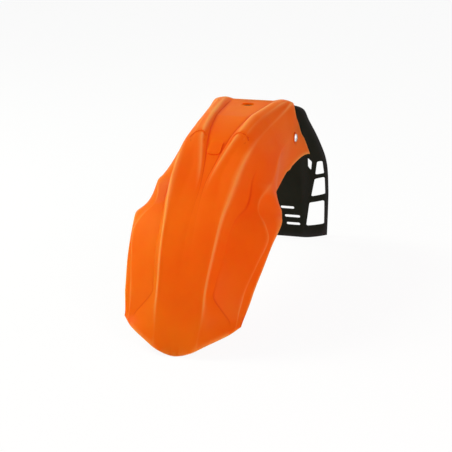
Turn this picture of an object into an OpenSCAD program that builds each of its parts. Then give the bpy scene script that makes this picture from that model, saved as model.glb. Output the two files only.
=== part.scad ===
// Universal front mudguard for a motorbike: a moulded front shell, a vented rear flap and two side rivets.
// Forward is -Y, up is +Z and X runs across; the origin is the middle of the deck's mounting hole.

/* [Wrap round the wheel] */
// Distance of the wrap's centre ahead of the deck hole
wrap_fwd = 90; // [85:1:95]
// Depth of the wrap's centre below the deck
wrap_drop = 330; // [325:1:335]
// Radius of the hood above the wrap's centre
wrap_r = 318; // [314:1:322]

/* [Front shell] */
// Wall thickness of the shell
shell_wall = 3; // [2.4:0.1:3.4]
// Half width of the channel floor between the ridges
channel_half = 33; // [30:0.5:35]
// Half width between the two ridge crests at the rear
crest_half = 46; // [44:0.5:48]
// Half width at the shoulder outside each ridge
shoulder_half = 56; // [54:0.5:58]
// Half width of the hood and of the deck's upper edge
hood_half = 64; // [62:0.5:66]
// Half width at the foot of the hood's steep side wall
wall_half = 70; // [69:0.5:72]
// Half width at the crease across each side wing
wing_half = 100; // [98:0.5:101]
// Half width at the widest place of the side wings
edge_half = 109; // [107:0.5:112]
// Height of the ridges above the channel floor
ridge_rise = 8; // [5:0.5:9]
// Drop of the hood's edge below its middle
hood_drop = 14; // [12:0.5:16]
// Drop of the side wall's foot
wall_drop = 50; // [46:1:54]
// Drop of the wing's crease
wing_drop = 70; // [66:1:74]
// Drop of the deepest edge, in the fork leg notch
edge_drop = 112; // [108:1:116]

/* [Deck hole and raised marks] */
// Diameter of the mounting hole in the deck
hole_d = 20; // [16:0.5:24]
// Width of the raised pad in the channel
pad_w = 19; // [14:1:20]
// Length of the raised pad in the channel
pad_l = 30; // [24:1:34]
// Height of the raised pad
pad_rise = 1.6; // [1:0.1:2]
// Width of the arched recess on each ridge
arch_w = 25; // [20:1:27]
// Length of the arched recess on each ridge
arch_l = 40; // [34:1:46]
// Depth of the recess at its arched rear end
arch_depth = 1.4; // [1:0.1:1.6]

/* [Rear flap] */
// Thickness of the flap
flap_wall = 2.6; // [2:0.1:3]
// Greatest half width of the flap
flap_half = 97; // [92:0.5:100]
// Width at which the flap's side panels fold back
fold_half = 58; // [54:0.5:60]
// Depth by which the flap's side panels are swept back
flap_sweep = 28; // [22:1:32]
// Overlap of the flap's tongue under the deck
tongue_lap = 14; // [10:1:18]
// Half width of the flap's tongue
tongue_half = 27; // [22:0.5:28]
// Gap between the tongue and the deck's underside
tongue_gap = 0.3; // [0.2:0.1:0.8]
// Corner radius of the windows
window_r = 3; // [2:0.5:3.5]
// Height of the plain slots
slot_h = 5; // [4:0.5:6]

/* [Side rivets] */
// Distance of the rivets behind the deck hole
rivet_back = 23; // [20:1:26]
// Depth of the rivets below the deck
rivet_drop = 55; // [52:1:58]
// Diameter of the rivet's shank
rivet_d = 6; // [5:0.1:6.4]
// Diameter of the rivet's outer head
rivet_head_d = 13; // [12:0.5:14]
// Height of the rivet's outer head
rivet_head_h = 3.4; // [2.8:0.1:4]
// Clearance of the rivet holes on the diameter
rivet_gap = 0.2; // [0.1:0.05:0.4]
// Depth of the lug's seat behind the shell's outer face at the rivet
seat_in = 5.8; // [5.4:0.1:6.2]
// Height of the rivet's boss above the shell's outer face
boss_out = 0.6; // [0.4:0.1:0.8]
// Diameter of the boss round the rivet
boss_d = 18; // [16:0.5:19]
// Radius of the flap's lug round the rivet
lug_r = 12; // [10:0.5:13]
// Height of the set head on the inside
set_h = 2.4; // [2:0.1:2.8]
// Diameter of the set head on the inside
set_d = 9.6; // [9:0.1:10]
// Height of the outer head's rim
rim_h = 0.8; // [0.6:0.1:1]
// Diameter of the hole that the mandrel leaves in the head
dimple_d = 2.4; // [2:0.1:2.6]

/* [Hidden] */

// widths and drops of the lines that run along the shell, from the middle outwards
line_half = [0, channel_half, crest_half, shoulder_half, hood_half, wall_half, wing_half, edge_half];
line_drop = [0, 1, ridge_rise, hood_drop, hood_drop, wall_drop, wing_drop, edge_drop];
// how smoothly the section turns at each line: 0 is a sharp crease
line_soft = [1, 0, 0.9, 0.5, 0.3, 0.15, 0.15, 1];
// how many strips lie between a line and the next
line_strips = [2, 4, 4, 3, 5, 4, 4];
// angle of the front rim in the middle, its rise at the corners and the power of its curve; rear end at each line
front_end = [11.8, 8.5, 1.6];
rear_end = [111.3, 111.3, 111.4, 111.7, 112.2, 115.5, 122, 131];
// angle at which the flat deck ends in the middle, and the growth of the radius behind it in mm a degree
flat_end = 111.3;
tail_slope = 0.6;
// rows of the shell's grid; cells and root depth of the patches that follow its skin
rows = 42;
patch_cells = 6;
patch_root = 2;
// angles at which the pad's middle and the recesses' rear ends lie
pad_th = 71.5;
arch_th = 77.5;
// how far out the recess's arch and its front tip lie
arch_mid = 32;
arch_tip = 26;

// angle about the wrap's centre, radius above wrap_r, then each line's width in percent of its line_half
wide = [
    [12, 5, 15, 26, 39, 47, 80, 68, 74],
    [17, 0, 15, 26, 39, 49, 100, 76, 76],
    [21, -2, 15, 26, 40, 52, 97, 77, 77],
    [24, -2, 15, 26, 45, 53, 79, 78, 80],
    [27, -1, 15, 26, 48, 53, 62, 80, 83],
    [30, -1, 15, 26, 50, 54, 63, 82, 85],
    [38, 0, 15, 27, 56, 59, 70, 91, 91],
    [47, 1, 12, 24, 56, 64, 73, 99, 96],
    [52, 0, 9, 20, 48, 69, 79, 90, 99],
    [56, -1, 8, 17, 46, 72, 86, 77, 100],
    [60, -1, 12, 19, 42, 75, 88, 76, 96],
    [65, -1, 23, 28, 45, 77, 86, 83, 91],
    [70, 2, 35, 41, 55, 80, 89, 83, 84],
    [76, 7, 50, 56, 68, 83, 92, 81, 74],
    [83, 9, 65, 63, 74, 86, 92, 78, 67],
    [90, 12, 77, 68, 80, 89, 92, 75, 63],
    [105, 24, 95, 88, 94, 96, 94, 71, 64],
    [111, 34, 100, 100, 100, 99, 97, 71, 66],
    [131, 48, 100, 104, 102, 102, 103, 77, 73]];
// angle, then each line's height above the middle in percent of its line_drop
high = [
    [12, 0, 0, 10, 10, 20, 4, 0, -6],
    [17, 0, 0, 0, 0, 0, -18, -16, -13],
    [21, 0, 0, 0, -4, -8, -38, -31, -22],
    [24, 0, 0, 0, -4, -8, -32, -35, -27],
    [27, 0, 0, 0, -4, -6, -25, -38, -31],
    [30, 0, 0, 0, -4, -4, -25, -42, -34],
    [38, 0, 0, 4, 0, 0, -30, -56, -43],
    [47, 0, 0, 6, 4, 6, -42, -68, -51],
    [52, 0, 0, 7, 6, 10, -56, -62, -54],
    [56, 0, 0, 10, 8, 18, -68, -57, -55],
    [60, 0, 0, 15, 8, 24, -66, -52, -62],
    [65, 0, 15, 28, 10, 20, -50, -52, -70],
    [70, 0, 25, 42, 14, -4, -48, -67, -82],
    [76, 0, 0, 60, 15, -50, -54, -78, -92],
    [83, 0, 0, 62, 8, -80, -58, -74, -97],
    [90, 0, 0, 60, 0, -90, -58, -71, -100],
    [105, 0, 0, 65, 20, -45, -52, -71, -92],
    [111, 0, 0, 35, 10, -10, -53, -76, -93],
    [131, 0, 0, 30, 0, -50, -52, -59, -56]];

// flap's rear face from the tongue down: distance behind the hole, height, then half width and sweep in percent
tongue_top = shell_wall + tongue_gap;
tongue_end = 39;
tongue_share = 100 * tongue_half / flap_half;
flap_line = [
    [tongue_end - tongue_lap, -tongue_top, tongue_share, 0],
    [tongue_end + 1 - tongue_lap / 2, -tongue_top, tongue_share, 0],
    [tongue_end + 3, -tongue_top - 1, tongue_share + 5, 0],
    [51, -8, 60, 5],
    [64, -18, 77, 25],
    [85, -42, 80, 55],
    [112, -82, 89, 95],
    [133, -125, 99, 105],
    [149, -175, 100, 110],
    [160, -220, 99, 95],
    [166, -264, 98, 80]];
flap_rows = 20;
flap_cols = 11;
// how soon the side panels bend back: 0 bends late
fold_bend = 0.4;
// corner radius in percent of window_r, then the corners across and up, drawn for the right side
windows = [
    [100, [64, -242.5], [92, -242.5], [92.5, -198], [70, -199]],
    [95, [73, -188], [94, -187], [94, -154], [79.5, -155]],
    [80, [80.5, -147.5], [93.5, -147.5], [92, -123], [84, -123]],
    [70, [70.5, -131], [75, -138], [77, -121.5], [71, -113.5]]];
// plain slots low on the flap: inner end, outer end and height of the middle
slots = [[20, 44, -210], [27, 54, -226], [30, 54, -240]];

function slope(t, i) =
    let(a = max(i - 1, 0), b = min(i + 1, len(t) - 1)) (t[b] - t[a]) / (t[b][0] - t[a][0]);
function hermite(p, q, m, n, s) =
    (2 * s * s * s - 3 * s * s + 1) * p + (s * s * s - 2 * s * s + s) * m
    + (3 * s * s - 2 * s * s * s) * q + (s * s * s - s * s) * n;
function place(t, x, i = 0) = i >= len(t) - 2 || x <= t[i + 1][0] ? i : place(t, x, i + 1);
function row_at(t, x) =
    let(i = place(t, x), h = t[i + 1][0] - t[i][0])
    hermite(t[i], t[i + 1], h * slope(t, i), h * slope(t, i + 1), (x - t[i][0]) / h);

// point of a list at a fractional place, smooth through the list's points
function along(v, k) =
    let(i = min(floor(k), len(v) - 2), a = v[max(i - 1, 0)], b = v[i], c = v[i + 1], d = v[min(i + 2, len(v) - 1)])
    hermite(b, c, (c - a) / 2, (d - b) / 2, k - i);

// middle radius: the deck behind the wrap's centre is flat up to its rear end, the rest follows the table
function mid_r(th, r) =
    th < 90 ? wrap_r + r
    : th < flat_end ? wrap_drop / sin(th)
    : wrap_drop / sin(flat_end) + tail_slope * (th - flat_end);
// the lines' places (across, height above the middle) in the section at one angle
function section(th) =
    let(w = row_at(wide, th), h = row_at(high, th))
    [for (k = [0:7]) [line_half[k] * (k == 0 ? 0 : w[k + 1]) / 100, line_drop[k] * h[k + 1] / 100]];
function turn(a, b, c) =
    let(p = norm(b - a), q = norm(c - b)) ((b - a) * q / p + (c - b) * p / q) / (p + q);
// place across the section between the lines, with the section mirrored at the middle
function across(g, k) =
    let(i = min(floor(k), 6), b = g[i], c = g[i + 1],
        a = i == 0 ? [-g[1][0], g[1][1]] : g[i - 1],
        d = i == 6 ? 2 * c - b : g[i + 2], l = norm(c - b))
    hermite(b, c, turn(a, b, c) * l * line_soft[i], turn(b, c, d) * l * line_soft[i + 1], k - i);
function wrap_point(x, r, th) = [x, -(wrap_fwd + r * cos(th)), r * sin(th) - wrap_drop];
rim_section = section(front_end[0] + front_end[1] / 2);
// outer surface of the shell, side -1 or 1, at line place k and lengthwise share u from front to rear
function skin(side, k, u, lift = 0) =
    let(f = abs(across(rim_section, k)[0] / rim_section[7][0]),
        front = front_end[0] + front_end[1] * pow(f, front_end[2]))
    skin_at(side, k, front * (1 - u) + along(rear_end, k) * u, lift);
function skin_at(side, k, th, lift = 0) =
    let(p = across(section(th), k), r = mid_r(th, row_at(wide, th)[1]))
    wrap_point(side * p[0], r + p[1] + lift, th);

half_places = [for (i = [0:6]) for (j = [0:line_strips[i] - 1]) i + j / line_strips[i], 7];
full_places = [for (i = [len(half_places) - 1:-1:1]) [-1, half_places[i]], for (k = half_places) [1, k]];

function unit(v) = v / norm(v);
// outward normals of a grid of points whose rows run to the rear and whose columns run to +X
function normals(g) =
    let(n = len(g), m = len(g[0]))
    [for (r = [0:n - 1]) [for (c = [0:m - 1]) unit(cross(
        g[r][min(c + 1, m - 1)] - g[r][max(c - 1, 0)], g[min(r + 1, n - 1)][c] - g[max(r - 1, 0)][c]))]];

// the same grid moved against its normals
function inset(g, d) =
    let(nv = normals(g)) [for (r = [0:len(g) - 1]) [for (c = [0:len(g[0]) - 1]) g[r][c] - d * nv[r][c]]];

// closed solid between two grids, the first on the outside
module between(g, h) {
    n = len(g);
    m = len(g[0]);
    pts = [for (r = g) each r, for (r = h) each r];
    b = n * m;
    top = [for (r = [0:n - 2]) for (c = [0:m - 2]) each [
        [r * m + c, (r + 1) * m + c, (r + 1) * m + c + 1], [r * m + c, (r + 1) * m + c + 1, r * m + c + 1]]];
    bottom = [for (f = top) [f[2] + b, f[1] + b, f[0] + b]];
    rim = concat(
        [for (c = [0:m - 1]) c], [for (r = [1:n - 1]) r * m + m - 1],
        [for (c = [m - 2:-1:0]) (n - 1) * m + c], [for (r = [n - 2:-1:1]) r * m]);
    walls = [for (i = [0:len(rim) - 1]) let(p = rim[i], q = rim[(i + 1) % len(rim)]) each [[p, q, q + b], [p, q + b, p + b]]];
    polyhedron(pts, concat(top, bottom, walls), convexity = 10);
}

shell_grid = [for (r = [0:rows - 1]) [for (s = full_places) skin(s[0], s[1], r / (rows - 1))]];

// frame on the wrap at one angle: +Z points outwards and +Y to the rear
module on_wrap(th, r) {
    translate([0, -wrap_fwd, -wrap_drop]) rotate([90 - th, 0, 0]) translate([0, 0, r]) children();
}

// closed patch that follows the shell's skin between two line places and two angles; its top and bottom
// each have a height above the skin at the front and at the rear
module skin_patch(k0, k1, th0, th1, top, bottom) {
    function grid(h) = [for (r = [0:patch_cells]) let(u = r / patch_cells) [for (c = [0:patch_cells])
        let(k = k0 + (k1 - k0) * c / patch_cells)
        skin_at(k < 0 ? -1 : 1, abs(k), th0 + (th1 - th0) * u, h[0] * (1 - u) + h[1] * u)]];
    between(grid(top), grid(bottom));
}

// flat outline with an arc of radius r in each corner, corners given in order
function arc_corner(p, c, n, r, steps) =
    let(u = unit(p - c), v = unit(n - c), half = acos(u * v) / 2, mid = c + unit(u + v) * r / sin(half),
        a0 = atan2((c + u * r / tan(half) - mid)[1], (c + u * r / tan(half) - mid)[0]),
        a1 = atan2((c + v * r / tan(half) - mid)[1], (c + v * r / tan(half) - mid)[0]),
        d = a1 - a0 > 180 ? a1 - a0 - 360 : a1 - a0 < -180 ? a1 - a0 + 360 : a1 - a0)
    [for (i = [0:steps]) mid + r * [cos(a0 + d * i / steps), sin(a0 + d * i / steps)]];
function rounded(pts, r, steps = 3) =
    let(n = len(pts)) [for (i = [0:n - 1]) each arc_corner(pts[(i + n - 1) % n], pts[i], pts[(i + 1) % n], r, steps)];

// plain raised pad in the middle of the channel
module channel_pad() {
    reach = pad_l / 6;
    corners = [[-pad_w, -pad_l], [pad_w, -pad_l], [pad_w, pad_l], [-pad_w, pad_l]] / 2;
    intersection() {
        skin_patch(-2, 2, pad_th - reach, pad_th + reach, [pad_rise, pad_rise], [-patch_root, -patch_root]);
        on_wrap(pad_th, wrap_r - pad_l) linear_extrude(2 * pad_l) polygon(rounded(corners, pad_w / 4));
    }
}

// tool for the shallow recess on one ridge: deepest at its arched rear end, it fades out to the front
module arch_tool(side) {
    arch = [for (a = [0:15:180]) [side * arch_mid + arch_w / 2 * cos(a), arch_w / 2 * (sin(a) - 1)]];
    tip = [for (x = [-1, 1]) [side * arch_tip + x * arch_w / 3, -arch_l]];
    intersection() {
        skin_patch(side < 0 ? -4 : 1, side < 0 ? -1 : 4, arch_th - arch_l / 5, arch_th + 2,
            [patch_root, patch_root], [arch_depth / 3, -arch_depth]);
        on_wrap(arch_th, wrap_r - arch_l) linear_extrude(2 * arch_l) polygon(concat(arch, tip));
    }
}

// shell's half width at the rivet: the line place with the rivet's height is found by halving
function line_at(g, h, a = 5, b = 7, n = 12) =
    let(m = (a + b) / 2) n == 0 ? m : across(g, m)[1] > h ? line_at(g, h, m, b, n - 1) : line_at(g, h, a, m, n - 1);
rivet_th = atan2(wrap_drop - rivet_drop, -wrap_fwd - rivet_back);
rivet_high = norm([wrap_drop - rivet_drop, wrap_fwd + rivet_back]) - mid_r(rivet_th, 0);
rivet_skin = across(section(rivet_th), line_at(section(rivet_th), rivet_high))[0];
seat_half = rivet_skin - seat_in;
head_half = rivet_skin + boss_out;

// frame on one rivet's axis: +Z points outwards
module on_rivet(side, x) {
    translate([side * x, rivet_back, -rivet_drop]) rotate([0, side * 90, 0]) children();
}
// flat-faced boss round one rivet, joined to the shell's side wall
module boss(side) {
    on_rivet(side, seat_half) cylinder(d = boss_d, h = head_half - seat_half, $fn = 48);
}
module rivet_hole(side) {
    on_rivet(side, seat_half - 4 * flap_wall) cylinder(d = rivet_d + rivet_gap, h = 8 * flap_wall, $fn = 48);
}

module front_shell() {
    color("darkorange")
    difference() {
        union() {
            between(shell_grid, inset(shell_grid, shell_wall));
            channel_pad();
            for (side = [-1, 1]) boss(side);
        }
        for (side = [-1, 1]) arch_tool(side);
        cylinder(d = hole_d, h = 4 * shell_wall, center = true, $fn = 64);
        for (side = [-1, 1]) rivet_hole(side);
    }
}

// share of the sweep at a half width x of w
function fold(x, w) =
    x <= fold_half ? 0 : let(t = (x - fold_half) / max(w - fold_half, 1)) (1 + fold_bend) * t * t - fold_bend * t * t * t;
function flap_point(s, q) =
    let(v = along(flap_line, s), w = flap_half * v[2] / 100, x = w * q)
    [x, v[0] + flap_sweep * v[3] / 100 * fold(abs(x), w), v[1]];
flap_grid = [for (r = [0:flap_rows]) [for (c = [-flap_cols:flap_cols])
    flap_point((len(flap_line) - 1) * r / flap_rows, c / flap_cols)]];

// cut right through the flap from the rear, with corners of radius r
module cut_back(outline, r) {
    rotate([90, 0, 0]) translate([0, 0, -4 * edge_half]) linear_extrude(4 * edge_half) polygon(rounded(outline, r));
}
// lug on one side that reaches forward inside the shell's side wall to the rivet
module lug(side) {
    back = [for (s = [6:-0.25:5])
        let(w = flap_half * along(flap_line, s)[2] / 100, p = flap_point(s, (seat_half - flap_wall / 2) / w))
        [p[1] - flap_wall / 2, p[2]]];
    front = [for (a = [100:10:260]) [rivet_back + lug_r * cos(a), -rivet_drop + lug_r * sin(a)]];
    translate([side > 0 ? seat_half - flap_wall : -seat_half, 0, 0])
        rotate([90, 0, 90]) linear_extrude(flap_wall) polygon(concat(front, back));
}

module rear_flap() {
    color("dimgray")
    difference() {
        union() {
            between(flap_grid, inset(flap_grid, flap_wall));
            for (side = [-1, 1]) lug(side);
        }
        for (side = [-1, 1]) {
            rivet_hole(side);
            for (w = windows) cut_back([for (i = [1:4]) [side * w[i][0], w[i][1]]], window_r * w[0] / 100);
            for (v = slots)
                cut_back([[v[0], v[2] - slot_h / 2], [v[1], v[2] - slot_h / 2], [v[1], v[2] + slot_h / 2],
                    [v[0], v[2] + slot_h / 2]] * [[side, 0], [0, 1]], 0.48 * slot_h);
        }
    }
}

// one domed rivet with its set head inside and the mandrel's hole outside
rivet_grip = head_half - seat_half + flap_wall;
module rivet(side) {
    tail = [[0, -rivet_grip - set_h], [set_d / 2 - 1, -rivet_grip - set_h], [set_d / 2, -rivet_grip - set_h + 1],
        [set_d / 2, -rivet_grip], [rivet_d / 2, -rivet_grip], [rivet_d / 2, 0]];
    rim = [[rivet_head_d / 2, 0], [rivet_head_d / 2, rim_h]];
    dome = [for (a = [20:20:80]) [rivet_head_d / 2 * cos(a), rim_h + (rivet_head_h - rim_h) * sin(a)]];
    hole = [[dimple_d / 2, rivet_head_h], [dimple_d / 2, rivet_head_h - dimple_d / 2], [0, rivet_head_h - dimple_d / 2]];
    on_rivet(side, head_half) rotate_extrude($fn = 36) polygon(concat(tail, rim, dome, hole));
}

module side_rivets() {
    color("silver") for (side = [-1, 1]) rivet(side);
}

front_shell();
rear_flap();
side_rivets();
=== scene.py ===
"""Dresses the front mudguard: a gloss moulded shell, a satin vented rear flap and two side rivets."""

from __future__ import annotations

import logging
import math
from dataclasses import dataclass
from enum import Enum

import bmesh
import bpy
import numpy as np
from bmesh.types import BMesh, BMFace, BMVert
from bpy.types import Material, NodeSocket, Object
from mathutils import Matrix, Vector


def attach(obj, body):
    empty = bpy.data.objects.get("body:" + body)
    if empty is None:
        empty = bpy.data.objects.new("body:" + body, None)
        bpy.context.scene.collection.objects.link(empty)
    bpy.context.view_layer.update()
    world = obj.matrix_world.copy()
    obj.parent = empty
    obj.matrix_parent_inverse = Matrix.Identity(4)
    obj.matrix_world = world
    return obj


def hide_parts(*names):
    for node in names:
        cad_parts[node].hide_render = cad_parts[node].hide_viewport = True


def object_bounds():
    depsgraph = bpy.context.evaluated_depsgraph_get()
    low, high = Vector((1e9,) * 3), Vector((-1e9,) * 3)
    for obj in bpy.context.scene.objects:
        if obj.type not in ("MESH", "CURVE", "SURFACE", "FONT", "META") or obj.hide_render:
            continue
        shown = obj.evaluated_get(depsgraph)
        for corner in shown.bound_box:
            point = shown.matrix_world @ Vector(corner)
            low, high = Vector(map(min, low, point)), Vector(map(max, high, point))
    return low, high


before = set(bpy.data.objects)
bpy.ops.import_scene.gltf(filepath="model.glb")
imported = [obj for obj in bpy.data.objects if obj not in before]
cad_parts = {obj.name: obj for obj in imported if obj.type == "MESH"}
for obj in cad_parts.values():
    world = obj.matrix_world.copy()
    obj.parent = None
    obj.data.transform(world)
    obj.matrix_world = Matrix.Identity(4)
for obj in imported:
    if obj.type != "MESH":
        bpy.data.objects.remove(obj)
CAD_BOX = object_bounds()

Colour = tuple[float, float, float]
Point = tuple[float, float, float]
Pair = tuple[float, float]
Table = tuple[tuple[float, ...], ...]
Array = np.ndarray

MM = 0.001
# corners closer than this, in metres, are one
WELD = 1e-6
# where most values of a noise pattern lie
NOISE_SPAN = (0.3, 0.7)
LOG = logging.getLogger("front_mudguard")


class Side(Enum):
    """Side of the mudguard, seen along the ride."""

    LEFT = -1
    RIGHT = 1


class Cut(Enum):
    """How a tool solid works on a piece."""

    REMOVE = "DIFFERENCE"
    ADD = "UNION"
    KEEP = "INTERSECT"


class Tint(Enum):
    """Colour of a lamp's light."""

    YELLOWISH = (0.91, 1.0, 0.84)
    REDDISH = (1.0, 0.7, 0.72)


# Finishes


@dataclass(frozen=True)
class NodeSheet:
    """The node sheet of a material or of the sky, with short ways to add nodes."""

    owner: Material | bpy.types.World

    @classmethod
    def blank(cls, name: str) -> NodeSheet:
        """Makes a new material.

        Args:
            name: the material's name.

        Returns:
            The sheet with a Principled shader and its output.
        """
        material = bpy.data.materials.new(name)
        material.use_nodes = True
        return cls(material)

    def node(self, name: str) -> bpy.types.Node:
        """Finds a node that is on the sheet from the start."""
        return self.owner.node_tree.nodes[name]

    @property
    def shader(self) -> bpy.types.Node:
        """The Principled shader of the material."""
        return self.node("Principled BSDF")

    def tune(self, **values: object) -> None:
        """Sets the shader's inputs by name, with spaces written as underscores."""
        for key, value in values.items():
            self.shader.inputs[key.replace("_", " ")].default_value = value

    def add(self, kind: str, **values: object) -> bpy.types.Node:
        """Adds a node.

        Args:
            kind: the node's type name.
            **values: properties, or inputs by name with spaces written as underscores.

        Returns:
            The new node.
        """
        node = self.owner.node_tree.nodes.new(kind)
        for key, value in values.items():
            if hasattr(node, key):
                setattr(node, key, value)
            else:
                node.inputs[key.replace("_", " ")].default_value = value
        return node

    def join(self, out_socket: NodeSocket, in_socket: NodeSocket) -> None:
        """Links two sockets."""
        self.owner.node_tree.links.new(out_socket, in_socket)

    def noise(
        self, scale: float, detail: float, rough: float = 0.5, stretch: Point = (1.0, 1.0, 1.0)
    ) -> NodeSocket:
        """Adds a noise pattern laid out in object space.

        Args:
            scale: patches per metre.
            detail: octaves of the noise.
            rough: share of each finer octave.
            stretch: further scale along X, Y and Z.

        Returns:
            The socket with the pattern.
        """
        place = self.add("ShaderNodeTexCoord")
        lay = self.add("ShaderNodeMapping", Scale=stretch)
        noise = self.add("ShaderNodeTexNoise", Scale=scale, Detail=detail, Roughness=rough)
        self.join(place.outputs["Object"], lay.inputs["Vector"])
        self.join(lay.outputs["Vector"], noise.inputs["Vector"])
        return noise.outputs["Fac"]

    def ramp(self, source: NodeSocket, span: Pair, colours: tuple) -> NodeSocket:
        """Runs from one colour to another.

        Args:
            source: socket that drives the ramp.
            span: the values at which the first colour ends and the second is full.
            colours: the two colours.

        Returns:
            The socket with the colour.
        """
        ramp = self.add("ShaderNodeValToRGB")
        for element, place, colour in zip(ramp.color_ramp.elements, span, colours):
            element.position = place
            element.color = (*colour, 1.0)
        self.join(source, ramp.inputs["Fac"])
        return ramp.outputs["Color"]

    def remap(self, source: NodeSocket, span: Pair, onto: Pair) -> NodeSocket:
        """Maps one range of values onto another and holds them at its ends.

        Args:
            source: socket with the values.
            span: their range.
            onto: the range that it becomes.

        Returns:
            The socket with the result.
        """
        ends = {"From_Min": span[0], "From_Max": span[1], "To_Min": onto[0], "To_Max": onto[1]}
        scale = self.add("ShaderNodeMapRange", **ends)
        self.join(source, scale.inputs["Value"])
        return scale.outputs["Result"]

    def blend(self, share: NodeSocket, last: NodeSocket, colour: Colour) -> NodeSocket:
        """Blends a colour into another one.

        Args:
            share: socket with the new colour's share, from 0 to 1.
            last: socket with the colour so far.
            colour: the new colour.

        Returns:
            The socket with the result.
        """
        mix = self.add("ShaderNodeMix", data_type="RGBA")
        part, first, second = (mix.inputs[i] for i in (0, 6, 7))
        second.default_value = (*colour, 1.0)
        self.join(share, part)
        self.join(last, first)
        return mix.outputs[2]

    def paint_bend_light(self, last: NodeSocket, painted_bend_light: tuple) -> NodeSocket:
        """Paints highlight colours along the piece's crests and shade colours into its creases, by how
        sharply it bends there.

        Args:
            last: socket with the colour of the plain surface.
            painted_bend_light: for each painted highlight or shade colour, the bends at which it starts and
                is full, its most and the colour.

        Returns:
            The socket with the result.
        """
        crest = self.add("ShaderNodeAttribute", attribute_name="crest")
        for span, most, colour in painted_bend_light:
            share = self.remap(crest.outputs["Fac"], span, (0.0, most))
            last = self.blend(share, last, colour)
        return last

    def bump(self, *layers: tuple[NodeSocket, Pair]) -> None:
        """Chains height patterns into the shader's normal.

        Args:
            *layers: each pattern's socket, then its strength and its depth in metres.
        """
        last = None
        for source, (strength, depth) in layers:
            bump = self.add("ShaderNodeBump", Strength=strength, Distance=depth)
            self.join(source, bump.inputs["Height"])
            if last is not None:
                self.join(last, bump.inputs["Normal"])
            last = bump.outputs["Normal"]
        self.join(last, self.shader.inputs["Normal"])

    def seen(self) -> NodeSocket:
        """Adds a switch.

        Returns:
            The socket that is 1 for rays from the camera, a mirror or glass, and 0 for others.
        """
        path = self.add("ShaderNodeLightPath")
        last = path.outputs["Is Camera Ray"]
        for ray in ("Is Glossy Ray", "Is Transmission Ray"):
            either = self.add("ShaderNodeMath", operation="MAXIMUM")
            self.join(last, either.inputs[0])
            self.join(path.outputs[ray], either.inputs[1])
            last = either.outputs[0]
        return last


@dataclass(frozen=True)
class GlossPlastic:
    """Bright dyed polypropylene with a moulded gloss and faint handling marks, with painted highlight on
    its crests and painted shade in its creases.

    Each bump is a strength and a depth in metres, and each scale is in patches per metre.
    """

    name: str = "gloss_orange"
    deep: Colour = (0.79, 0.101, 0.004)
    light: Colour = (0.82, 0.134, 0.005)
    # painted highlight along the crests and painted shade in the creases: for each, the bends at which it
    # starts and is full, its most share and its colour
    painted_bend_light: tuple = (((14.0, 80.0), 0.45, (0.86, 0.38, 0.11)), ((-24.0, -95.0), 0.6, (0.6, 0.033, 0.002)))
    cloud_scale: float = 9.0
    smear_scale: float = 60.0
    smear_stretch: Point = (1.0, 0.35, 0.6)
    rough: Pair = (0.42, 0.48)
    peel_scale: float = 420.0
    peel_bump: Pair = (0.05, 0.0004)
    scratch_scale: float = 900.0
    scratch_stretch: Point = (1.0, 0.05, 0.3)
    scratch_bump: Pair = (0.03, 0.0002)
    glow: float = 0.7
    glow_reach: float = 0.03
    glow_tint: Colour = (1.0, 0.3, 0.08)
    ior: float = 1.4
    sheen: float = 0.01
    sheen_tint: Colour = (1.0, 0.6, 0.12)
    coat: float = 0.03
    coat_rough: float = 0.3

    def material(self) -> Material:
        """Returns the material, built from nodes."""
        sheet = NodeSheet.blank(self.name)
        shader = sheet.shader
        cloud = sheet.noise(self.cloud_scale, 3.0)
        tone = sheet.ramp(cloud, NOISE_SPAN, (self.deep, self.light))
        # painted highlight on the crests and painted shade in the creases, laid over the plastic's tone
        sheet.join(sheet.paint_bend_light(tone, self.painted_bend_light), shader.inputs["Base Color"])
        smear = sheet.noise(self.smear_scale, 6.0, 0.6, self.smear_stretch)
        sheet.join(sheet.remap(smear, NOISE_SPAN, self.rough), shader.inputs["Roughness"])
        peel = sheet.noise(self.peel_scale, 2.0)
        scratch = sheet.noise(self.scratch_scale, 2.0, 0.5, self.scratch_stretch)
        sheet.bump((peel, self.peel_bump), (scratch, self.scratch_bump))
        sheet.tune(Subsurface_Weight=self.glow, Subsurface_Scale=self.glow_reach)
        sheet.tune(Subsurface_Radius=self.glow_tint)
        sheet.tune(IOR=self.ior, Specular_IOR_Level=self.sheen, Specular_Tint=(*self.sheen_tint, 1.0))
        sheet.tune(Coat_Weight=self.coat, Coat_Roughness=self.coat_rough)
        return sheet.owner


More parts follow.
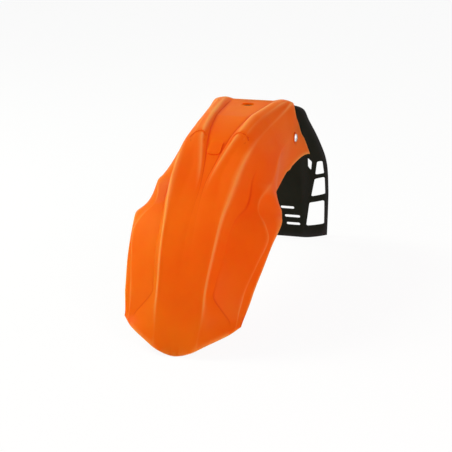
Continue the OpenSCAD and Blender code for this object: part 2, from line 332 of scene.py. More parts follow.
@dataclass(frozen=True)
class SatinPlastic:
    """Black rubbery plastic with a fine moulded grain and a painted sheen along its folds."""

    name: str = "satin_black"
    deep: Colour = (0.0125, 0.0148, 0.0106)
    light: Colour = (0.0165, 0.0194, 0.0143)
    # painted sheen along the folds: the bends at which it starts and is full, its most share and its colour
    painted_bend_light: tuple = (((8.0, 50.0), 0.5, (0.04, 0.042, 0.045)),)
    cloud_scale: float = 22.0
    rough: Pair = (0.5, 0.6)
    grain_scale: float = 700.0
    grain_bump: Pair = (0.18, 0.0005)
    scuff_scale: float = 240.0
    scuff_stretch: Point = (0.3, 1.0, 1.0)
    scuff_bump: Pair = (0.05, 0.0004)
    ior: float = 1.36
    sheen: float = 0.018

    def material(self) -> Material:
        """Returns the material, built from nodes."""
        sheet = NodeSheet.blank(self.name)
        shader = sheet.shader
        cloud = sheet.noise(self.cloud_scale, 5.0, 0.6)
        tone = sheet.ramp(cloud, NOISE_SPAN, (self.deep, self.light))
        # painted sheen along the folds, laid over the plastic's tone
        sheet.join(sheet.paint_bend_light(tone, self.painted_bend_light), shader.inputs["Base Color"])
        sheet.join(sheet.remap(cloud, NOISE_SPAN, self.rough), shader.inputs["Roughness"])
        place = sheet.add("ShaderNodeTexCoord")
        grain = sheet.add("ShaderNodeTexVoronoi", Scale=self.grain_scale)
        sheet.join(place.outputs["Object"], grain.inputs["Vector"])
        scuff = sheet.noise(self.scuff_scale, 4.0, 0.6, self.scuff_stretch)
        sheet.bump((grain.outputs["Distance"], self.grain_bump), (scuff, self.scuff_bump))
        sheet.tune(IOR=self.ior, Specular_IOR_Level=self.sheen)
        return sheet.owner


@dataclass(frozen=True)
class RivetMetal:
    """Bright aluminium with a little grime, and painted shade that darkens it where it is seen at a flat
    angle.
    """

    name: str = "rivet_aluminium"
    dull: Colour = (0.6, 0.61, 0.62)
    clean: Colour = (0.86, 0.87, 0.88)
    grime_scale: float = 600.0
    grime_span: Pair = (0.35, 0.55)
    grime_bump: Pair = (0.08, 0.0001)
    # painted shade where the head is seen at a flat angle: its colour, the facing values at which it starts
    # and is full, and its most share
    edge: Colour = (0.06, 0.055, 0.05)
    painted_shade_span: Pair = (0.35, 0.8)
    painted_shade_most: float = 0.9
    rough: Pair = (0.34, 0.22)

    def material(self) -> Material:
        """Returns the material, built from nodes."""
        sheet = NodeSheet.blank(self.name)
        shader = sheet.shader
        grime = sheet.noise(self.grime_scale, 4.0)
        tone = sheet.ramp(grime, self.grime_span, (self.dull, self.clean))
        # painted shade: darker where the surface is seen at a flat angle
        slope = sheet.add("ShaderNodeLayerWeight", Blend=0.5)
        share = sheet.remap(slope.outputs["Facing"], self.painted_shade_span, (0.0, self.painted_shade_most))
        sheet.join(sheet.blend(share, tone, self.edge), shader.inputs["Base Color"])
        sheet.join(sheet.remap(grime, NOISE_SPAN, self.rough), shader.inputs["Roughness"])
        sheet.bump((grime, self.grime_bump))
        sheet.tune(Metallic=1.0)
        return sheet.owner


# Mesh work


def hermite(p: Array, q: Array, m: Array, n: Array, s: Array) -> Array:
    """Blends two values with given slopes.

    Args:
        p: value at 0.
        q: value at 1.
        m: slope at 0.
        n: slope at 1.
        s: place between them.

    Returns:
        The value at s.
    """
    two = s * s
    three = two * s
    ends = (2 * three - 3 * two + 1) * p + (3 * two - 2 * three) * q
    slopes = (three - 2 * two + s) * m + (three - two) * n
    return ends + slopes


def along(values: Array, k: Array) -> Array:
    """Reads a list at fractional places, smooth through its values.

    Args:
        values: the list, one row for each place.
        k: the places to read.

    Returns:
        One row for each place in k.
    """
    last = len(values) - 1
    i = np.minimum(np.floor(k).astype(int), last - 1)
    a = values[np.maximum(i - 1, 0)]
    b = values[i]
    c = values[i + 1]
    d = values[np.minimum(i + 2, last)]
    s = (k - i).reshape(-1, *[1] * (values.ndim - 1))
    return hermite(b, c, (c - a) / 2, (d - b) / 2, s)


def soften(grid: Array, axis: int, times: int) -> Array:
    """Evens out a grid of points along one way and leaves its ends alone.

    Args:
        grid: rows, columns and the three coordinates.
        axis: 0 for along the columns, 1 for along the rows.
        times: how often each point is drawn to its neighbours.

    Returns:
        The softened grid.
    """
    even = np.moveaxis(grid, axis, 0).copy()
    for _ in range(times):
        even[1:-1] = even[1:-1] / 2 + (even[:-2] + even[2:]) / 4
    return np.moveaxis(even, 0, axis)


def grid_normals(grid: Array) -> Array:
    """Outward unit directions of a grid of points, with rows to the rear or down and columns to +X."""
    normals = np.cross(np.gradient(grid, axis=1), np.gradient(grid, axis=0))
    return normals / np.linalg.norm(normals, axis=2, keepdims=True)


def round_edges(bm: BMesh, edges: list, radius: float, steps: int) -> None:
    """Rounds edges with flat strips that reach as far as the radius, in metres, from each edge."""
    bmesh.ops.bevel(bm, geom=edges, offset=radius, segments=steps, profile=0.5, affect="EDGES", material=-1)


def wall_between(outer: Array, inner: Array, rim: float = 0.0) -> BMesh:
    """Lays a grid onto the outer points, copies it onto the inner ones and bridges their rims.

    Args:
        outer: outer points in metres, rows by columns.
        inner: inner points in the same order.
        rim: how far the rim's edges are rounded, in metres.

    Returns:
        The closed wall.
    """
    rows, cols = outer.shape[:2]
    bm = bmesh.new()
    bmesh.ops.create_grid(bm, x_segments=cols - 1, y_segments=rows - 1, size=1.0)
    copy = bmesh.ops.duplicate(bm, geom=bm.verts[:] + bm.edges[:] + bm.faces[:])
    turned = [g for g in copy["geom"] if isinstance(g, BMFace)]
    bmesh.ops.reverse_faces(bm, faces=turned)
    below = {g for g in copy["geom"] if isinstance(g, BMVert)}
    for vert in bm.verts:
        col = round((vert.co.x + 1) / 2 * (cols - 1))
        row = round((vert.co.y + 1) / 2 * (rows - 1))
        vert.co = (inner if vert in below else outer)[row, col]
    edges = [e for e in bm.edges if e.is_boundary]
    bmesh.ops.bridge_loops(bm, edges=edges)
    if rim:
        round_edges(bm, edges, rim, 2)
    return bm


def prism(outline: list[Pair], depth: float, place: Matrix) -> BMesh:
    """Extrudes a flat outline both ways.

    Args:
        outline: corners across and up in millimetres.
        depth: length of the prism in millimetres, half each way.
        place: where the outline's plane lies, in metres.

    Returns:
        The closed prism.
    """
    bm = bmesh.new()
    face = bm.faces.new([bm.verts.new((x * MM, y * MM, -depth / 2 * MM)) for x, y in outline])
    swept = bmesh.ops.extrude_face_region(bm, geom=[face])["geom"]
    top = [g for g in swept if isinstance(g, BMVert)]
    bmesh.ops.translate(bm, vec=(0, 0, depth * MM), verts=top)
    bmesh.ops.transform(bm, matrix=place, verts=bm.verts)
    bmesh.ops.recalc_face_normals(bm, faces=bm.faces)
    return bm


def cylinder(radius: float, length: float, place: Matrix, sides: int = 48) -> BMesh:
    """Makes a round bar.

    Args:
        radius: in millimetres.
        length: in millimetres, half each way along Z.
        place: where it stands, in metres.
        sides: how many sides it has.

    Returns:
        The closed bar.
    """
    bm = bmesh.new()
    ends = {"radius1": radius * MM, "radius2": radius * MM}
    bmesh.ops.create_cone(bm, cap_ends=True, segments=sides, depth=length * MM, matrix=place, **ends)
    return bm


def piece(name: str, bm: BMesh, smooth_deg: float = 35.0) -> Object:
    """Turns a bmesh into a piece of the scene, smooth but for its sharp edges.

    Args:
        name: the piece's name.
        bm: the mesh; it is freed.
        smooth_deg: edges sharper than this stay sharp.

    Returns:
        The new object.
    """
    mesh = bpy.data.meshes.new(name)
    for face in bm.faces:
        face.smooth = True
    for edge in bm.edges:
        edge.smooth = len(edge.link_faces) == 2 and edge.calc_face_angle(0.0) < math.radians(smooth_deg)
    bm.to_mesh(mesh)
    bm.free()
    thing = bpy.data.objects.new(name, mesh)
    bpy.context.scene.collection.objects.link(thing)
    return thing


def mark_crests(
    mesh: bpy.types.Mesh, sharp_deg: float = 35.0, passes: int = 14, closest: float = 0.0005
) -> None:
    """Stores on each corner how strongly the surface bends there: over 0 on crests, under 0 in creases,
    where the finishes lay painted highlight and painted shade.

    Args:
        mesh: the finished mesh; it gets the attribute "crest", in radians per metre.
        sharp_deg: rims sharper than this count as flat, and feet as just this sharp.
        passes: how many times each corner takes the mean of its neighbours.
        closest: face centres closer than this, in metres, count as this far apart.
    """
    sharp = math.radians(sharp_deg)
    bm = bmesh.new()
    bm.from_mesh(mesh)
    first, last, long, bend = [], [], [], []
    for edge in bm.edges:
        turn = edge.calc_face_angle_signed(0.0) if len(edge.link_faces) == 2 else 0.0
        turn = 0.0 if turn > sharp else max(turn, -sharp)
        near, far = (face.calc_center_median() for face in (edge.link_faces[0], edge.link_faces[-1]))
        first.append(edge.verts[0].index)
        last.append(edge.verts[1].index)
        long.append(edge.calc_length())
        bend.append(turn / max((near - far).length, closest))
    bm.free()
    count = len(mesh.vertices)
    first, last, long, bend = np.array(first), np.array(last), np.array(long), np.array(bend)
    weight = np.maximum(np.bincount(first, long, count) + np.bincount(last, long, count), WELD)
    crest = (np.bincount(first, bend * long, count) + np.bincount(last, bend * long, count)) / weight
    for _ in range(passes):
        ahead = np.bincount(first, crest[last] * long, count)
        behind = np.bincount(last, crest[first] * long, count)
        crest = (crest + (ahead + behind) / weight) / 2
    mesh.attributes.new("crest", "FLOAT", "POINT").data.foreach_set("value", crest.astype(np.float32))


def gather(parts: list[BMesh]) -> BMesh:
    """Puts several meshes into one.

    Args:
        parts: the meshes; they are freed.

    Returns:
        One mesh with all of them.
    """
    whole = bmesh.new()
    for part in parts:
        mesh = bpy.data.meshes.new("part")
        part.to_mesh(mesh)
        part.free()
        whole.from_mesh(mesh)
        bpy.data.meshes.remove(mesh)
    return whole


def work(body: BMesh, tool: BMesh, cut: Cut) -> BMesh:
    """Works a tool solid on a body.

    Args:
        body: the closed mesh to change; it is freed.
        tool: the closed tool mesh; it is freed.
        cut: whether the tool removes, adds or keeps what it covers.

    Returns:
        The worked mesh.
    """
    held = piece("held", body)
    cutter = piece("cutter", tool)
    step = held.modifiers.new("step", "BOOLEAN")
    step.operation = cut.value
    step.solver = "EXACT"
    step.object = cutter
    graph = bpy.context.evaluated_depsgraph_get()
    done = bmesh.new()
    done.from_mesh(held.evaluated_get(graph).to_mesh())
    for thing in (held, cutter):
        mesh = thing.data
        bpy.data.objects.remove(thing)
        bpy.data.meshes.remove(mesh)
    bmesh.ops.remove_doubles(done, verts=done.verts, dist=WELD)
    return done


def dress(thing: Object, finish: Material, node: str) -> Object:
    """Gives a piece its finish and its place in the frame.

    Args:
        thing: the piece.
        finish: its material.
        node: name of the solid that it stands for.

    Returns:
        The piece.
    """
    mark_crests(thing.data)
    thing.data.materials.clear()
    thing.data.materials.append(finish)
    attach(thing, "root")
    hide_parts(node)
    LOG.info("%s: %d faces", thing.name, len(thing.data.polygons))
    return thing


# Front shell


@dataclass(frozen=True)
class Wrap:
    """The shell's outer surface, drawn as sections by angle round the wheel, in millimetres and degrees.

    An angle of 0 points forward from the wrap's centre and one of 90 up.
    """

    # the centre's place in front of the deck hole and below the deck
    fwd: float = 90.0
    drop: float = 330.0
    # the hood's radius in the middle
    radius: float = 318.0
    # the deck is flat between these angles, and then its radius grows by the slope for each degree
    deck_start: float = 90.0
    flat_end: float = 111.3
    tail_slope: float = 0.6
    # angle of the front tip, how far the corners lie behind it, and the power of the curve between
    front: Point = (11.8, 8.5, 1.6)
    # for each line from the middle out: the angle at its end, its full half width and its full drop
    rear: tuple[float, ...] = (111.3, 111.3, 111.4, 111.7, 112.2, 115.5, 122.0, 131.0)
    line_half: tuple[float, ...] = (0, 33, 46, 56, 64, 70, 100, 109)
    line_drop: tuple[float, ...] = (0, 1, 8, 14, 14, 50, 70, 112)
    # how round the surface passes each line, from 0 to 1
    line_soft: tuple[float, ...] = (1, 0, 0.9, 0.5, 0.3, 0.15, 0.15, 1)
    # angle, radius above the hood's, then each line's width in percent
    wide: Table = (
        (12, 5, 15, 26, 39, 47, 80, 68, 74),
        (17, 0, 15, 26, 39, 49, 100, 76, 76),
        (21, -2, 15, 26, 40, 52, 97, 77, 77),
        (24, -2, 15, 26, 45, 53, 79, 78, 80),
        (27, -1, 15, 26, 48, 53, 62, 80, 83),
        (30, -1, 15, 26, 50, 54, 63, 82, 85),
        (38, 0, 15, 27, 56, 59, 70, 91, 91),
        (47, 1, 12, 24, 56, 64, 73, 99, 96),
        (52, 0, 9, 20, 48, 69, 79, 90, 99),
        (56, -1, 8, 17, 46, 72, 86, 77, 100),
        (60, -1, 12, 19, 42, 75, 88, 76, 96),
        (65, -1, 23, 28, 45, 77, 86, 83, 91),
        (70, 2, 35, 41, 55, 80, 89, 83, 84),
        (76, 7, 50, 56, 68, 83, 92, 81, 74),
        (83, 9, 65, 63, 74, 86, 92, 78, 67),
        (90, 12, 77, 68, 80, 89, 92, 75, 63),
        (105, 24, 95, 88, 94, 96, 94, 71, 64),
        (111, 34, 100, 100, 100, 99, 97, 71, 66),
        (131, 48, 100, 104, 102, 102, 103, 77, 73),
    )
    # angle, then each line's height above the middle in percent of its drop
    high: Table = (
        (12, 0, 0, 10, 10, 20, 4, 0, -6),
        (17, 0, 0, 0, 0, 0, -18, -16, -13),
        (21, 0, 0, 0, -4, -8, -38, -31, -22),
        (24, 0, 0, 0, -4, -8, -32, -35, -27),
        (27, 0, 0, 0, -4, -6, -25, -38, -31),
        (30, 0, 0, 0, -4, -4, -25, -42, -34),
        (38, 0, 0, 4, 0, 0, -30, -56, -43),
        (47, 0, 0, 6, 4, 6, -42, -68, -51),
        (52, 0, 0, 7, 6, 10, -56, -62, -54),
        (56, 0, 0, 10, 8, 18, -68, -57, -55),
        (60, 0, 0, 15, 8, 24, -66, -52, -62),
        (65, 0, 15, 28, 10, 20, -50, -52, -70),
        (70, 0, 25, 42, 14, -4, -48, -67, -82),
        (76, 0, 0, 60, 15, -50, -54, -78, -92),
        (83, 0, 0, 62, 8, -80, -58, -74, -97),
        (90, 0, 0, 60, 0, -90, -58, -71, -100),
        (105, 0, 0, 65, 20, -45, -52, -71, -92),
        (111, 0, 0, 35, 10, -10, -53, -76, -93),
        (131, 0, 0, 30, 0, -50, -52, -59, -56),
    )

    @property
    def edge(self) -> int:
        """Number of the outermost line, where the middle is 0."""
        return len(self.line_half) - 1

    @staticmethod
    def rows_at(table: Table, angle: Array) -> Array:
        """Reads a table at given angles, smooth through its rows.

        Args:
            table: rows that start with their angle.
            angle: the angles to read.

        Returns:
            One row for each angle.
        """
        t = np.array(table, float)
        x = t[:, 0]
        last = len(x) - 1
        up = np.minimum(np.arange(last + 1) + 1, last)
        down = np.maximum(np.arange(last + 1) - 1, 0)
        slope = (t[up] - t[down]) / (x[up] - x[down])[:, None]
        i = np.clip(np.searchsorted(x, angle) - 1, 0, last - 1)
        step = (x[i + 1] - x[i])[:, None]
        s = (angle - x[i])[:, None] / step
        return hermite(t[i], t[i + 1], step * slope[i], step * slope[i + 1], s)

    def middle(self, angle: Array, above: Array) -> Array:
        """Radius of the surface in the middle.

        Args:
            angle: angles round the wheel.
            above: the table's radius above the hood's.

        Returns:
            One radius for each angle.
        """
        deck = self.drop / np.sin(np.radians(np.clip(angle, self.deck_start, self.flat_end)))
        tail = self.tail_slope * np.maximum(angle - self.flat_end, 0.0)
        return np.where(angle < self.deck_start, self.radius + above, deck + tail)

    def lines(self, angle: Array) -> Array:
        """Places of the eight lines in the sections.

        Args:
            angle: the sections' angles.

        Returns:
            Width and height for each section and line.
        """
        wide = self.rows_at(self.wide, angle)[:, 1:] * np.array(self.line_half) / 100.0
        wide[:, 0] = 0.0
        high = self.rows_at(self.high, angle)[:, 1:] * np.array(self.line_drop) / 100.0
        return np.stack([wide, high], axis=2)

    @staticmethod
    def turn(a: Array, b: Array, c: Array) -> Array:
        """Direction in which a section passes the middle one of three points.

        Args:
            a: the point before.
            b: the middle one.
            c: the point after.

        Returns:
            One direction for each section.
        """
        p = np.linalg.norm(b - a, axis=1, keepdims=True)
        q = np.linalg.norm(c - b, axis=1, keepdims=True)
        return ((b - a) * q / p + (c - b) * p / q) / (p + q)

    def across(self, lines: Array, k: Array) -> Array:
        """Places in the sections between the lines.

        Args:
            lines: the sections' lines.
            k: line number, with a fraction, for each section.

        Returns:
            Width and height for each section.
        """
        n = np.arange(len(k))
        last = self.edge - 1
        i = np.minimum(np.floor(k).astype(int), last)
        b = lines[n, i]
        c = lines[n, i + 1]
        mirrored = lines[:, 1] * np.array([-1.0, 1.0])
        a = np.where((i == 0)[:, None], mirrored, lines[n, np.maximum(i - 1, 0)])
        d = np.where((i == last)[:, None], 2 * c - b, lines[n, np.minimum(i + 2, self.edge)])
        length = np.linalg.norm(c - b, axis=1, keepdims=True)
        soft = np.array(self.line_soft)
        m = self.turn(a, b, c) * length * soft[i][:, None]
        o = self.turn(b, c, d) * length * soft[i + 1][:, None]
        return hermite(b, c, m, o, (k - i)[:, None])

    def points(self, k: Array, angle: Array, lift: Array | float = 0.0) -> Array:
        """Points on the surface.

        Args:
            k: line numbers, negative on the left.
            angle: angles round the wheel, of the same shape.
            lift: height above the surface in millimetres.

        Returns:
            The points in metres, with the coordinates last.
        """
        flat_k = np.abs(k).ravel()
        flat_a = angle.ravel()
        place = self.across(self.lines(flat_a), flat_k)
        middle = self.middle(flat_a, self.rows_at(self.wide, flat_a)[:, 1])
        r = middle + place[:, 1] + np.broadcast_to(lift, k.shape).ravel()
        turn = np.radians(flat_a)
        x = np.sign(k).ravel() * place[:, 0]
        y = -(self.fwd + r * np.cos(turn))
        z = r * np.sin(turn) - self.drop
        return (np.stack([x, y, z], axis=1) * MM).reshape(*k.shape, 3)

    def ends(self, k: Array) -> tuple[Array, Array]:
        """Angles at which the shell starts and ends.

        Args:
            k: line numbers.

        Returns:
            Front and rear angle for each.
        """
        start, rise, power = self.front
        half = np.full(len(k), start + rise / 2)
        rim = self.across(self.lines(half), np.abs(k))[:, 0]
        share = rim / self.across(self.lines(half[:1]), np.array([float(self.edge)]))[0, 0]
        return start + rise * share**power, along(np.array(self.rear), np.abs(k))

    def frame_at(self, angle: float, radius: float) -> Matrix:
        """Place on the wrap where +Z points outwards and +Y to the rear.

        Args:
            angle: the place's angle.
            radius: its distance from the wrap's centre.

        Returns:
            The place in metres.
        """
        return (
            Matrix.Translation((0, -self.fwd * MM, -self.drop * MM))
            @ Matrix.Rotation(math.radians(90.0 - angle), 4, "X")
            @ Matrix.Translation((0, 0, radius * MM))
        )


@dataclass
class FrontShell:
    """The moulded shell with its deck hole, arched recesses, pad and rivet bosses, in millimetres."""

    finish: GlossPlastic
    wrap: Wrap = Wrap()
    wall: float = 3.0
    # how far the rim is rounded
    rim: float = 0.7
    # strips between each line and the next, and corners from front to rear
    strips: tuple[int, ...] = (6, 11, 12, 9, 13, 14, 14)
    rows: int = 190
    # how often the skin is evened out across, and the inner face across and along
    skin_soft: int = 2
    inner_soft: tuple[int, int] = (24, 4)
    hole_d: float = 20.0
    hole_sides: int = 64
    # the pad's width and length, and its place on the wrap in degrees
    pad_size: Pair = (19.0, 30.0)
    pad_angle: float = 71.5
    pad_rise: float = 1.6
    # how far the pad reaches into the shell
    pad_sunk: float = 2.0
    # place of a recess's arched end on the wrap in degrees, and the recess's width and length
    arch_angle: float = 77.5
    arch_size: Pair = (25.0, 40.0)
    # its distance from the middle at the arched end and at the front
    arch_mid: float = 32.0
    arch_tip: float = 26.0
    arch_depth: float = 1.4
    # how far its tool stands above the skin, and how many degrees it reaches behind the arch
    arch_over: float = 2.0
    patch_cells: int = 41
    # length of the prisms that trim the pad and the recesses
    tool_length: float = 120.0
    # the rivets' distance behind the deck hole and below the deck
    rivet_place: Pair = (23.0, 55.0)
    boss_d: float = 18.0
    # the bosses' inner and outer ends, from the middle
    boss_span: Pair = (65.69, 72.09)
    rivet_hole_d: float = 6.2
    rivet_hole_length: float = 30.0

    def skin(self) -> Array:
        """Returns the outer surface as a grid of points, rows to the rear and columns to +X."""
        half = [i + j / n for i, n in enumerate(self.strips) for j in range(n)] + [float(self.wrap.edge)]
        k = np.array([-v for v in half[:0:-1]] + half)
        front, rear = self.wrap.ends(k)
        share = np.linspace(0.0, 1.0, self.rows)[:, None]
        angle = front * (1 - share) + rear * share
        grid = self.wrap.points(np.broadcast_to(k, angle.shape), angle)
        return soften(grid, 1, self.skin_soft)

    def wall_mesh(self) -> BMesh:
        """Returns the bare moulding: the skin and its inner face, joined round the rim."""
        outer = self.skin()
        across, down = self.inner_soft
        normals = soften(soften(grid_normals(outer), 1, across), 0, down)
        normals /= np.linalg.norm(normals, axis=2, keepdims=True)
        return wall_between(outer, outer - self.wall * MM * normals, self.rim * MM)

    def patch(self, k: Pair, angle: Pair, top: Pair, bottom: Pair) -> BMesh:
        """Makes a thin solid that follows the skin.

        Args:
            k: first and last line number.
            angle: first and last angle.
            top: height of its top above the skin, at the front and at the rear.
            bottom: height of its underside, likewise.

        Returns:
            The closed solid.
        """
        share = np.linspace(0.0, 1.0, self.patch_cells)
        shape = (self.patch_cells, self.patch_cells)
        lines = np.broadcast_to(k[0] * (1 - share) + k[1] * share, shape)
        angles, high, low = (
            np.broadcast_to((ends[0] * (1 - share) + ends[1] * share)[:, None], shape)
            for ends in (angle, top, bottom)
        )
        return wall_between(self.wrap.points(lines, angles, high), self.wrap.points(lines, angles, low))

    def pad(self) -> BMesh:
        """Returns the plain raised pad in the channel."""
        w, h = self.pad_size
        # in degrees, well past the pad's ends
        reach = h / 6
        angles = (self.pad_angle - reach, self.pad_angle + reach)
        body = self.patch((-2, 2), angles, (self.pad_rise, self.pad_rise), (-self.pad_sunk, -self.pad_sunk))
        corners = [(-w / 2, -h / 2), (w / 2, -h / 2), (w / 2, h / 2), (-w / 2, h / 2)]
        tool = prism(corners, self.tool_length, self.wrap.frame_at(self.pad_angle, self.wrap.radius))
        upright = [e for e in tool.edges if e.calc_length() > (self.tool_length - 1) * MM]
        round_edges(tool, upright, w / 4 * MM, 6)
        return work(body, tool, Cut.KEEP)

    def arch_tool(self, side: Side) -> BMesh:
        """Makes the tool for the shallow recess on one ridge, deepest at its arched rear end.

        Args:
            side: which ridge.

        Returns:
            The closed tool.
        """
        w, h = self.arch_size
        sign = side.value
        over = self.arch_over
        lines = (-4, -1) if side is Side.LEFT else (1, 4)
        # in degrees, well past the recess's front end
        angles = (self.arch_angle - h / 5, self.arch_angle + over)
        body = self.patch(lines, angles, (over, over), (self.arch_depth / 3, -self.arch_depth))
        turn = np.linspace(0, math.pi, 25)
        arch = [(sign * self.arch_mid + w / 2 * math.cos(a), w / 2 * (math.sin(a) - 1)) for a in turn]
        foot = [(sign * self.arch_tip - w / 3, -h), (sign * self.arch_tip + w / 3, -h)]
        tool = prism(arch + foot, self.tool_length, self.wrap.frame_at(self.arch_angle, self.wrap.radius))
        return work(body, tool, Cut.KEEP)

    def rivet_frame(self, side: Side, out: float) -> Matrix:
        """Place of a rivet's axis, with +Z pointing outwards.

        Args:
            side: which rivet.
            out: distance from the middle in millimetres.

        Returns:
            The place.
        """
        back, drop = self.rivet_place
        spot = Matrix.Translation((side.value * out * MM, back * MM, -drop * MM))
        return spot @ Matrix.Rotation(side.value * math.pi / 2, 4, "Y")

    def rivet_hole(self, side: Side) -> BMesh:
        """Makes the tool for one rivet hole, which the flap's lug shares."""
        place = self.rivet_frame(side, self.boss_span[0])
        return cylinder(self.rivet_hole_d / 2, self.rivet_hole_length, place)

    def build(self) -> Object:
        """Builds and dresses the shell.

        Returns:
            The finished piece.
        """
        inner, outer = self.boss_span
        added = [self.pad()]
        holes = [cylinder(self.hole_d / 2, 4 * self.wall, Matrix.Identity(4), self.hole_sides)]
        for side in Side:
            middle = self.rivet_frame(side, (inner + outer) / 2)
            added.append(cylinder(self.boss_d / 2, outer - inner, middle))
            holes += [self.arch_tool(side), self.rivet_hole(side)]
        body = work(self.wall_mesh(), gather(added), Cut.ADD)
        body = work(body, gather(holes), Cut.REMOVE)
        return dress(piece("shell_moulding", body), self.finish.material(), "front_shell")


# Rear flap


@dataclass
class RearFlap:
    """The black flap under the deck's rear edge, with windows, slots and two lugs, in millimetres."""

    finish: SatinPlastic
    wall: float = 2.6
    half: float = 97.0
    # half width of the flat middle, how soon the side panels bend back, 0 being late, and how far
    fold_half: float = 58.0
    fold_bend: float = 0.4
    sweep: float = 28.0
    # corners down and across
    cells: tuple[int, int] = (101, 81)
    rim: float = 0.4
    # length of the tools that cut the openings
    tool_length: float = 400.0
    window_round: float = 3.0
    round_steps: int = 5
    slot_h: float = 5.0
    # what the radius of the slots' corners falls short of half their height
    slot_flat: float = 0.1
    # radius of a lug's round end, its first and last angle, and the rows of the line where it joins on
    lug_r: float = 12.0
    lug_turn: Pair = (100.0, 260.0)
    lug_rows: Pair = (6.0, 5.0)
    # back of the hole, height, half width and sweep in percent
    line: Table = (
        (25, -3.3, 27.8, 0),
        (33, -3.3, 27.8, 0),
        (42, -4.3, 32.8, 0),
        (51, -8, 60, 5),
        (64, -18, 77, 25),
        (85, -42, 80, 55),
        (112, -82, 89, 95),
        (133, -125, 99, 105),
        (149, -175, 100, 110),
        (160, -220, 99, 95),
        (166, -264, 98, 80),
    )
    # corner radius in percent, then the corners across and up
    windows: tuple = (
        (100, (64, -242.5), (92, -242.5), (92.5, -198), (70, -199)),
        (95, (73, -188), (94, -187), (94, -154), (79.5, -155)),
        (80, (80.5, -147.5), (93.5, -147.5), (92, -123), (84, -123)),
        (70, (70.5, -131), (75, -138), (77, -121.5), (71, -113.5)),
    )
    # inner end, outer end and height of the middle
    slots: Table = ((20, 44, -210), (27, 54, -226), (30, 54, -240))

    def points(self, s: Array, q: Array) -> Array:
        """Points on the rear face.

        Args:
            s: places down the flap, in rows of its table.
            q: places across from -1 to 1, of the same shape.

        Returns:
            The points in millimetres, with the coordinates last.
        """
        rows = along(np.array(self.line, float), s.ravel())
        width = self.half * rows[:, 2] / 100
        x = width * q.ravel()
        out = np.maximum(np.abs(x) - self.fold_half, 0) / np.maximum(width - self.fold_half, 1)
        fold = (1 + self.fold_bend) * out**2 - self.fold_bend * out**3
        y = rows[:, 0] + self.sweep * rows[:, 3] / 100 * fold
        return np.stack([x, y, rows[:, 1]], axis=1).reshape(*s.shape, 3)

    def sheet(self) -> BMesh:
        """Returns the flap's sheet with its full thickness."""
        down = np.linspace(0, len(self.line) - 1, self.cells[0])
        across = np.linspace(-1, 1, self.cells[1])
        s, q = np.meshgrid(down, across, indexing="ij")
        outer = self.points(s, q) * MM
        return wall_between(outer, outer - self.wall * MM * grid_normals(outer), self.rim * MM)

    def cutter(self, outline: list[Pair], corner: float) -> BMesh:
        """Makes the tool for one opening.

        Args:
            outline: corners across and up.
            corner: their radius.

        Returns:
            A prism with rounded corners, from front to rear.
        """
        length = self.tool_length
        lying = Matrix.Translation((0, length / 2 * MM, 0)) @ Matrix.Rotation(math.pi / 2, 4, "X")
        tool = prism(outline, length, lying)
        long_edges = [e for e in tool.edges if e.calc_length() > (length - 1) * MM]
        round_edges(tool, long_edges, corner * MM, self.round_steps)
        return tool

    def lug(self, side: Side, shell: FrontShell) -> BMesh:
        """Makes the lug that reaches forward inside the shell's side wall.

        Args:
            side: which side.
            shell: the shell, for the rivet's place.

        Returns:
            The lug's plate.
        """
        back, drop = shell.rivet_place
        middle = shell.boss_span[0] - self.wall / 2
        s = np.linspace(*self.lug_rows, 9)
        width = self.half * along(np.array(self.line, float), s)[:, 2] / 100
        rear = self.points(s, middle / width)
        turn = np.radians(np.linspace(*self.lug_turn, 21))
        outline = [(back + self.lug_r * math.cos(a), -drop + self.lug_r * math.sin(a)) for a in turn]
        outline += [(p[1] - self.wall / 2, p[2]) for p in rear]
        upright = Matrix.Rotation(math.pi / 2, 4, "Z") @ Matrix.Rotation(math.pi / 2, 4, "X")
        return prism(outline, self.wall, Matrix.Translation((side.value * middle * MM, 0, 0)) @ upright)

    def openings(self, side: Side) -> list[BMesh]:
        """Makes the tools for one side's windows and slots.

        Args:
            side: which side.

        Returns:
            One tool for each opening.
        """
        shapes = [(corners, self.window_round * percent / 100) for percent, *corners in self.windows]
        for start, end, mid in self.slots:
            low, high = mid - self.slot_h / 2, mid + self.slot_h / 2
            box = [(start, low), (end, low), (end, high), (start, high)]
            shapes.append((box, self.slot_h / 2 - self.slot_flat))
        return [self.cutter([(side.value * x, z) for x, z in shape], corner) for shape, corner in shapes]

    def build(self, shell: FrontShell) -> Object:
        """Builds and dresses the flap.

        Args:
            shell: the shell that it is riveted to.

        Returns:
            The finished piece.
        """
        body = self.sheet()
        tools = []
        for side in Side:
            body = work(body, self.lug(side, shell), Cut.ADD)
            tools += [*self.openings(side), shell.rivet_hole(side)]
        body = work(body, gather(tools), Cut.REMOVE)
        return dress(piece("rear_flap_sheet", body), self.finish.material(), "rear_flap")


# Side rivets


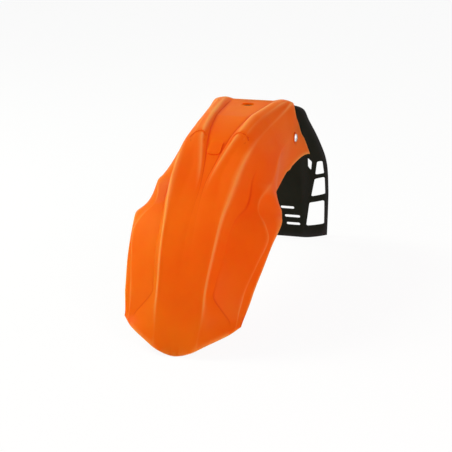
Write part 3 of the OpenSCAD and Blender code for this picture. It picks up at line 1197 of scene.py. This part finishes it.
@dataclass
class SideRivets:
    """Two domed rivets with the set head inside, in millimetres and degrees."""

    finish: RivetMetal
    shank_d: float = 6.0
    head_d: float = 13.0
    head_h: float = 3.4
    # the head's upright rim, and from where to where the dome's curve runs above it
    rim_h: float = 0.8
    dome_turn: Pair = (20.0, 80.0)
    set_d: float = 9.6
    set_h: float = 2.4
    # width of the set head's sloping edge
    set_edge: float = 1.0
    dimple_d: float = 2.4
    dimple_h: float = 1.2
    sides: int = 48

    def turned(self, grip: float) -> BMesh:
        """Turns one rivet's profile round its axis.

        Args:
            grip: thickness that the rivet holds, in millimetres.

        Returns:
            The closed rivet, standing on its head's seat.
        """
        foot = -grip - self.set_h
        dome = self.head_h - self.rim_h
        outline = [
            (0.0, foot),
            (self.set_d / 2 - self.set_edge, foot),
            (self.set_d / 2, foot + self.set_edge),
            (self.set_d / 2, -grip),
            (self.shank_d / 2, -grip),
            (self.shank_d / 2, 0.0),
            (self.head_d / 2, 0.0),
            (self.head_d / 2, self.rim_h),
        ]
        for angle in np.radians(np.linspace(*self.dome_turn, 7)):
            outline.append((self.head_d / 2 * math.cos(angle), self.rim_h + dome * math.sin(angle)))
        pit = self.head_h - self.dimple_h
        outline += [(self.dimple_d / 2, self.head_h), (self.dimple_d / 2, pit), (0.0, pit)]
        bm = bmesh.new()
        verts = [bm.verts.new((x * MM, 0.0, z * MM)) for x, z in outline]
        edges = [bm.edges.new(pair) for pair in zip(verts, verts[1:])]
        whole = {"angle": 2 * math.pi, "steps": self.sides, "use_merge": True}
        bmesh.ops.spin(bm, geom=verts + edges, cent=(0, 0, 0), axis=(0, 0, 1), **whole)
        bmesh.ops.remove_doubles(bm, verts=bm.verts, dist=WELD)
        bmesh.ops.recalc_face_normals(bm, faces=bm.faces)
        return bm

    def build(self, shell: FrontShell, flap: RearFlap) -> Object:
        """Builds and dresses both rivets.

        Args:
            shell: the shell that carries the heads' seats.
            flap: the flap whose lugs the rivets hold.

        Returns:
            The finished piece.
        """
        inner, outer = shell.boss_span
        pair = []
        for side in Side:
            rivet = self.turned(outer - inner + flap.wall)
            bmesh.ops.transform(rivet, matrix=shell.rivet_frame(side, outer), verts=rivet.verts)
            pair.append(rivet)
        return dress(piece("domed_rivets", gather(pair)), self.finish.material(), "side_rivets")


# Studio


@dataclass
class Studio:
    """Pale floor, soft lamps and the camera, in metres and degrees."""

    floor_size: float = 14.0
    # how far the floor lies below the part
    floor_gap: float = 0.0002
    floor_white: float = 0.9
    floor_rough: float = 0.9
    # share of even white in the floor that the camera sees
    floor_glow: float = 0.93
    # where the camera and the lamps point
    aim: Point = (0.0, -0.1331, -0.1610)
    azimuth: float = 15.0
    elevation: float = 17.0
    distance: float = 2.0
    # the photo's focal length and width in pixels
    focal_px: float = 1320.0
    frame_px: float = 452.0
    sensor_mm: float = 36.0
    # the sky's light on the part
    world_level: float = 0.24
    lamp_size: float = 0.8
    # name, place, power in watts and tint
    lamps: tuple = (
        ("key", (-1.6, -0.05, 1.4), 43.0, Tint.YELLOWISH),
        ("left_low", (-1.7, -1.1, 0.15), 5.0, Tint.YELLOWISH),
        ("front", (1.1, -1.6, 0.65), 19.0, Tint.REDDISH),
        ("rear_right", (1.7, 0.4, 1.0), 6.0, Tint.REDDISH),
    )

    def floor(self) -> None:
        """Lays the floor just under the part."""
        bm = bmesh.new()
        bmesh.ops.create_grid(bm, x_segments=2, y_segments=2, size=self.floor_size / 2)
        bmesh.ops.translate(bm, vec=(0, 0, CAD_BOX[0][2] - self.floor_gap), verts=bm.verts)
        floor = piece("studio_floor", bm)
        sheet = NodeSheet.blank("pale_floor")
        sheet.tune(Base_Color=(*[self.floor_white] * 3, 1.0), Roughness=self.floor_rough)
        mix = sheet.add("ShaderNodeMixShader")
        share, matt, glow = mix.inputs
        sheet.join(sheet.remap(sheet.seen(), (0.0, 1.0), (0.0, self.floor_glow)), share)
        sheet.join(sheet.shader.outputs[0], matt)
        sheet.join(sheet.add("ShaderNodeEmission").outputs[0], glow)
        sheet.join(mix.outputs[0], sheet.node("Material Output").inputs["Surface"])
        floor.data.materials.append(sheet.owner)

    def world(self) -> None:
        """Sets an even pale sky that shows white."""
        world = bpy.data.worlds.new("studio")
        bpy.context.scene.world = world
        world.use_nodes = True
        sheet = NodeSheet(world)
        sky = sheet.node("Background")
        sky.inputs["Color"].default_value = (1, 1, 1, 1)
        sheet.join(sheet.remap(sheet.seen(), (0.0, 1.0), (self.world_level, 1.0)), sky.inputs["Strength"])

    def lamp(self, name: str, place: Point, power: float, tint: Tint) -> None:
        """Hangs a soft square lamp that points at the part.

        Args:
            name: the lamp's name.
            place: where it hangs, in metres.
            power: its power in watts.
            tint: the colour of its light.
        """
        data = bpy.data.lights.new(name, "AREA")
        data.energy = power
        data.size = self.lamp_size
        data.color = tint.value
        lamp = bpy.data.objects.new(name, data)
        lamp.location = place
        lamp.rotation_euler = (Vector(self.aim) - Vector(place)).to_track_quat("-Z", "Y").to_euler()
        bpy.context.scene.collection.objects.link(lamp)

    def camera(self) -> None:
        """Stands the camera where the photographer stood."""
        a, e = math.radians(self.azimuth), math.radians(self.elevation)
        back = Vector((math.sin(a) * math.cos(e), -math.cos(a) * math.cos(e), math.sin(e)))
        data = bpy.data.cameras.new("camera")
        data.sensor_width = self.sensor_mm
        data.lens = self.focal_px / self.frame_px * self.sensor_mm
        camera = bpy.data.objects.new("camera", data)
        camera.location = Vector(self.aim) + self.distance * back
        camera.rotation_euler = back.to_track_quat("Z", "Y").to_euler()
        bpy.context.scene.collection.objects.link(camera)
        bpy.context.scene.camera = camera

    def build(self) -> None:
        """Sets up the whole studio."""
        self.floor()
        self.world()
        for lamp in self.lamps:
            self.lamp(*lamp)
        self.camera()
        bpy.context.scene.view_settings.view_transform = "Standard"


def main() -> None:
    """Builds the studio and every piece, then notes the sizes."""
    logging.basicConfig(level=logging.INFO)
    Studio().build()
    shell = FrontShell(GlossPlastic())
    flap = RearFlap(SatinPlastic())
    shell.build()
    flap.build(shell)
    SideRivets(RivetMetal()).build(shell, flap)


if __name__ == "__main__":
    main()
